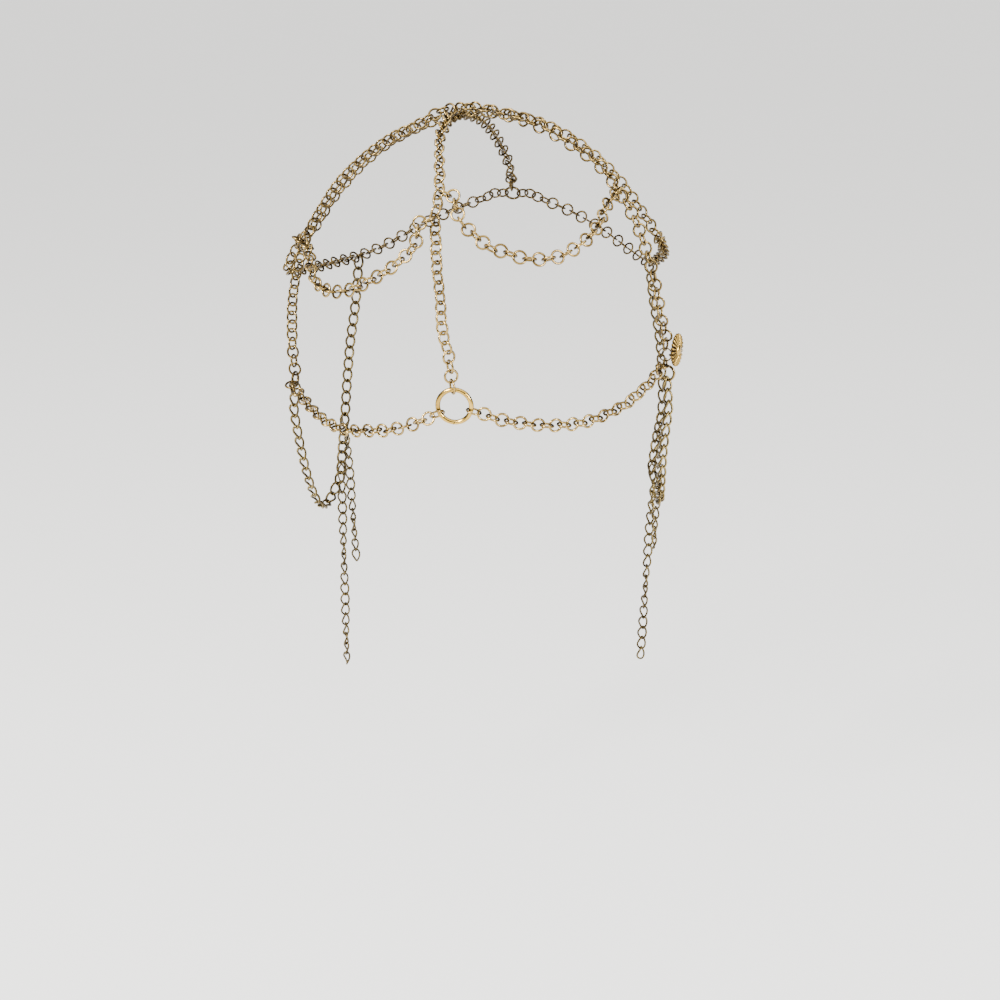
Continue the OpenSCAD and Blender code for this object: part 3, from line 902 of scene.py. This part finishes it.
def drape_track(hand, sizes):
    """The face drape's curve, from its temple ring to the front chain."""
    sign, route = (1.0, DRAPE_LEFT_ROUTE) if hand == "left" else (-1.0, DRAPE_RIGHT_ROUTE)
    temple = temple_ring_centre(hand)
    lift = sizes.link_outer / 2 + REST_GAP
    rows = [vec(sign * (NET_HALF_W + row[0]), row[1], row[2]) for row in route]
    brow = on_net((sign * BROW_SPOT[0], BROW_SPOT[1]), lift)
    return Track([temple + (TEMPLE_OD / 2 + TUBE_GAP) * DOWN] + rows + [brow + (lift + TUBE_GAP) * DOWN])


class HAIRCHAIN_OT_face_drapes(bpy.types.Operator):
    """Builds the two curb chains that hang from the temple rings"""

    bl_idname = "hairchain.face_drapes"
    bl_label = "Face drapes"

    def execute(self, context):
        sizes = context.scene.hairchain_sizes
        shape = curb_link(sizes.curb_long, sizes.curb_wide, sizes.curb_wire, sizes)
        pitch = sizes.curb_long - 2 * sizes.curb_wire - CURB_PLAY
        for hand, turn in DRAPE_TURNS.items():
            track = drape_track(hand, sizes)
            count = round((track.length - DRAPE_START) / pitch)
            step = (track.length - DRAPE_START) / count
            links = [
                laid(track, DRAPE_START + i * step, FACE_ON + turn, pitch / 2)
                for i in range(count + 1)
            ]
            name = f"face_drape_{hand}"
            add_piece(f"{name}_links", [placed(shape, upended(link)) for link in links], "curb_gold", name)
        return {"FINISHED"}


def tube_ends(name):
    """Top and foot of a dangle's plain form, in millimetres from the hollow's middle."""
    low, high = (np.array(corner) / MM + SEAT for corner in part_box(name))
    y = (low[1] + high[1]) / 2
    top_x = low[0] + DANGLE_TUBE_W / 2
    foot_x = high[0] - DANGLE_TUBE_W / 2
    # Each foot lies further to the left than its top, but not that of the short left dangle
    if name == "short_dangle_left":
        top_x, foot_x = foot_x, top_x
    return vec(top_x, y, high[2]), vec(foot_x, y, low[2])


class HAIRCHAIN_OT_dangles(bpy.types.Operator):
    """Builds the four dangle chains with the oval rings that they hang by"""

    bl_idname = "hairchain.dangles"
    bl_label = "Dangles"

    def execute(self, context):
        sizes = context.scene.hairchain_sizes
        shape = curb_link(sizes.dangle_long, sizes.dangle_wide, sizes.dangle_wire, sizes)
        pitch = sizes.dangle_long - 2 * sizes.dangle_wire - CURB_PLAY
        for name, facing in DANGLES.items():
            top, foot = tube_ends(name)
            track = Track([top, (top + foot) / 2, foot])
            start = sizes.dangle_long / 2
            count = round((track.length - 2 * start) / pitch)
            step = (track.length - 2 * start) / count
            links = [
                laid(track, track.length - start - j * step, FACE_ON + sizes.swirl * (j - facing), pitch)
                for j in range(count + 1)
            ]
            shapes = [placed(shape, upended(link)) for link in links]
            hand = name.split("_")[-1]
            shapes.append(self.hanging_ring(drape_track(hand, sizes), top, sizes))
            add_piece(f"{name}_links", shapes, "curb_gold", name)
        return {"FINISHED"}

    @staticmethod
    def hanging_ring(drape, top, sizes):
        """The oval ring round the drape that holds a dangle's top link."""
        aside = np.linalg.norm((drape.rows - top)[:, :2], axis=1)
        aside[drape.rows[:, 2] < top[2]] = np.inf
        nearest = np.argmin(aside)
        over = drape.rows[nearest]
        up = unit(over - top)
        high = over + (sizes.hang_wire + RING_OVER) * up
        low = top - (sizes.dangle_wire + sizes.hang_wire) * up
        along = drape.heading(drape.ways[nearest], RING_REACH)
        ring = curb_link(np.linalg.norm(high - low), sizes.hang_wide, sizes.hang_wire, sizes)
        return placed(ring, Link((high + low) / 2, up, unit(np.cross(along, up))))


def area_light(name, target, place, size, power, colour):
    """A soft rectangular light that faces the target."""
    data = bpy.data.lights.new(name, "AREA")
    data.shape = "RECTANGLE"
    data.size = size[0]
    data.size_y = size[1]
    data.energy = power
    data.color = colour
    light = bpy.data.objects.new(name, data)
    light.location = place
    light.rotation_euler = (Vector(target) - Vector(place)).to_track_quat("-Z", "Y").to_euler()
    bpy.context.collection.objects.link(light)


class HAIRCHAIN_OT_stage(bpy.types.Operator):
    """Adds the pale floor, the soft lights and the camera"""

    bl_idname = "hairchain.stage"
    bl_label = "Stage"

    def execute(self, context):
        colours = context.scene.hairchain_colours
        low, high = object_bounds()
        middle = Vector((low[i] + high[i]) / 2 for i in range(3))
        self.add_floor(low[2] - FLOOR_DROP, colours.backdrop)
        self.add_world(context.scene)
        for name, light in LIGHTS.items():
            area_light(name, middle, *light)
        self.add_camera(context.scene)
        return {"FINISHED"}

    @staticmethod
    def add_floor(height, colour):
        """A wide matt floor under the object."""
        mesh = bpy.data.meshes.new("floor")
        signs = [(-1, -1), (1, -1), (1, 1), (-1, 1)]
        mesh.from_pydata([(x * FLOOR_HALF, y * FLOOR_HALF, height) for x, y in signs], [], [(0, 1, 2, 3)])
        floor = bpy.data.objects.new("floor", mesh)
        bpy.context.collection.objects.link(floor)
        shader = Shader("floor_matt")
        tone = shader.noise(shader.place(), FLOOR_SCALE, detail=2.0).between(*FLOOR_RANGE)
        pale = shader.mix(tone * FLOOR_SHARE, colour, FLOOR_SHADE)
        inputs = {"Base Color": pale, "Roughness": FLOOR_ROUGHNESS}
        matt = shader.finish(shader.node("ShaderNodeBsdfPrincipled", {}, inputs))
        floor.data.materials.append(matt)
        floor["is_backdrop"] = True

    @staticmethod
    def add_world(scene):
        """A dim studio with a grey horizon and one wide soft light overhead."""
        world = bpy.data.worlds.new("studio")
        shader = Shader(world=world)
        rise = shader.node("ShaderNodeSeparateXYZ", {}, [shader.direction()], output=2)
        overhead = rise.between(*OVERHEAD_RANGE)
        horizon = 1 - rise.between(*HORIZON_RANGE)
        light = shader.mix(horizon, DIM_COLOUR, HORIZON_COLOUR)
        light = shader.mix(overhead, light, OVERHEAD_COLOUR)
        strength = DIM_STRENGTH + overhead * OVERHEAD_STRENGTH
        background = shader.node("ShaderNodeBackground", {}, {"Color": light, "Strength": strength})
        shader.node("ShaderNodeOutputWorld", {}, {0: background}, output=None)
        scene.world = world

    @staticmethod
    def add_camera(scene):
        """The camera at the photograph's place."""
        data = bpy.data.cameras.new("photo_camera")
        data.sensor_width = CAMERA_SENSOR
        data.lens = CAMERA_LENS
        camera = bpy.data.objects.new("photo_camera", data)
        camera.location = Vector(CAMERA_PLACE) * MM
        camera.rotation_euler = Euler([math.radians(turn) for turn in CAMERA_TURN])
        bpy.context.collection.objects.link(camera)
        scene.camera = camera


class HAIRCHAIN_PT_panel(bpy.types.Panel):
    """Lists the sizes, the colours and the operators"""

    bl_idname = "HAIRCHAIN_PT_panel"
    bl_label = "Hair chain"
    bl_space_type = "VIEW_3D"
    bl_region_type = "UI"
    bl_category = "Hair chain"

    def draw(self, context):
        layout = self.layout
        for group in (context.scene.hairchain_sizes, context.scene.hairchain_colours):
            for name in group.__annotations__:
                layout.prop(group, name)
        for operator in OPERATORS:
            layout.operator(operator.bl_idname)


OPERATORS = (
    HAIRCHAIN_OT_metal,
    HAIRCHAIN_OT_medallion,
    HAIRCHAIN_OT_front_chains,
    HAIRCHAIN_OT_face_drapes,
    HAIRCHAIN_OT_dangles,
    HAIRCHAIN_OT_stage,
)
CLASSES = (ChainSizes, MetalColours, *OPERATORS, HAIRCHAIN_PT_panel)


def register():
    for kind in CLASSES:
        bpy.utils.register_class(kind)
    bpy.types.Scene.hairchain_sizes = PointerProperty(type=ChainSizes)
    bpy.types.Scene.hairchain_colours = PointerProperty(type=MetalColours)


def unregister():
    del bpy.types.Scene.hairchain_sizes
    del bpy.types.Scene.hairchain_colours
    for kind in reversed(CLASSES):
        bpy.utils.unregister_class(kind)


def main():
    register()
    bpy.ops.hairchain.metal()
    bpy.ops.hairchain.medallion()
    bpy.ops.hairchain.front_chains()
    bpy.ops.hairchain.face_drapes()
    bpy.ops.hairchain.dangles()
    bpy.ops.hairchain.stage()


if __name__ == "__main__":
    main()
